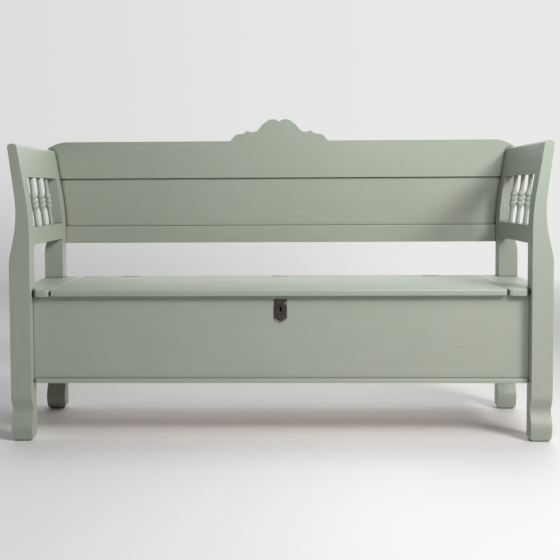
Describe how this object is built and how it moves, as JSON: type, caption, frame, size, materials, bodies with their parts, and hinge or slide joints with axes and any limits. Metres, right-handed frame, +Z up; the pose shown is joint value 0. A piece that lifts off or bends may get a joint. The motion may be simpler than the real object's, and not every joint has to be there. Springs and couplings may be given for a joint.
{
  "type": "settle bench",
  "caption": "Painted wooden settle bench with a panelled back, scalloped crest, splayed arms with turned spindles and a storage box under the hinged seat.",
  "frame": {"origin": "on the floor under the middle of the bench", "axes": "+X along the bench towards the sitter's left-hand arm as drawn on the right of the front view, +Y from the front to the back, +Z up"},
  "size_m": [1.75, 0.5423, 1.0818],
  "materials": {
    "painted_pine": "brushed sage green milk paint on pine, worn at the edges",
    "bare_pine": "bare aged pine",
    "aged_iron": "dark aged iron with brown patina",
    "steel": "dull aged steel"
  },
  "bodies": {
    "frame": {"arm_lower_rail_left": "painted_pine", "arm_lower_rail_right": "painted_pine", "arm_spindle_left_front": "painted_pine", "arm_spindle_left_middle": "painted_pine", "arm_spindle_left_rear": "painted_pine", "arm_spindle_right_front": "painted_pine", "arm_spindle_right_middle": "painted_pine", "arm_spindle_right_rear": "painted_pine", "arm_top_rail_left": "painted_pine", "arm_top_rail_right": "painted_pine", "back_lower_rail": "painted_pine", "back_panel": "painted_pine", "back_screws": "steel", "base_moulding": "painted_pine", "box_back_panel": "painted_pine", "box_end_panel_left": "painted_pine", "box_end_panel_right": "painted_pine", "box_front_panel": "painted_pine", "crest_rail": "painted_pine", "escutcheon_pins": "aged_iron", "floor_bearer_left": "bare_pine", "floor_bearer_middle": "bare_pine", "floor_bearer_right": "bare_pine", "floor_board_front": "bare_pine", "floor_board_middle": "bare_pine", "floor_board_rear": "bare_pine", "front_post_left": "painted_pine", "front_post_right": "painted_pine", "hinge_pin_left": "steel", "hinge_pin_middle": "steel", "hinge_pin_right": "steel", "hinge_rail_leaf_left": "steel", "hinge_rail_leaf_middle": "steel", "hinge_rail_leaf_right": "steel", "hinge_rail_screws": "steel", "lock_case": "steel", "lock_escutcheon": "aged_iron", "lock_key_pin": "steel", "lock_screws": "steel", "lock_spring": "steel", "rear_post_left": "painted_pine", "rear_post_right": "painted_pine", "seat_end_board_left": "painted_pine", "seat_end_board_right": "painted_pine", "seat_hinge_rail": "painted_pine"},
    "lid": {"hinge_lid_leaf_left": "steel", "hinge_lid_leaf_middle": "steel", "hinge_lid_leaf_right": "steel", "hinge_lid_screws": "steel", "keeper_screws": "steel", "lid_batten_left": "bare_pine", "lid_batten_right": "bare_pine", "lid_batten_screws": "steel", "lock_keeper": "steel", "seat_lid": "painted_pine"},
    "lock_bolt": {"lock_bolt": "steel"}
  },
  "joints": [
    {"name": "lid_hinge", "type": "hinge", "parent": "frame", "child": "lid", "pos_m": [0, 0.216, 0.4952], "axis": [-1, 0, 0], "range_deg": [0, 93.8]},
    {"name": "bolt_slide", "type": "slide", "parent": "frame", "child": "lock_bolt", "axis": [1, 0, 0], "range_m": [0, 0.0085]}
  ]
}
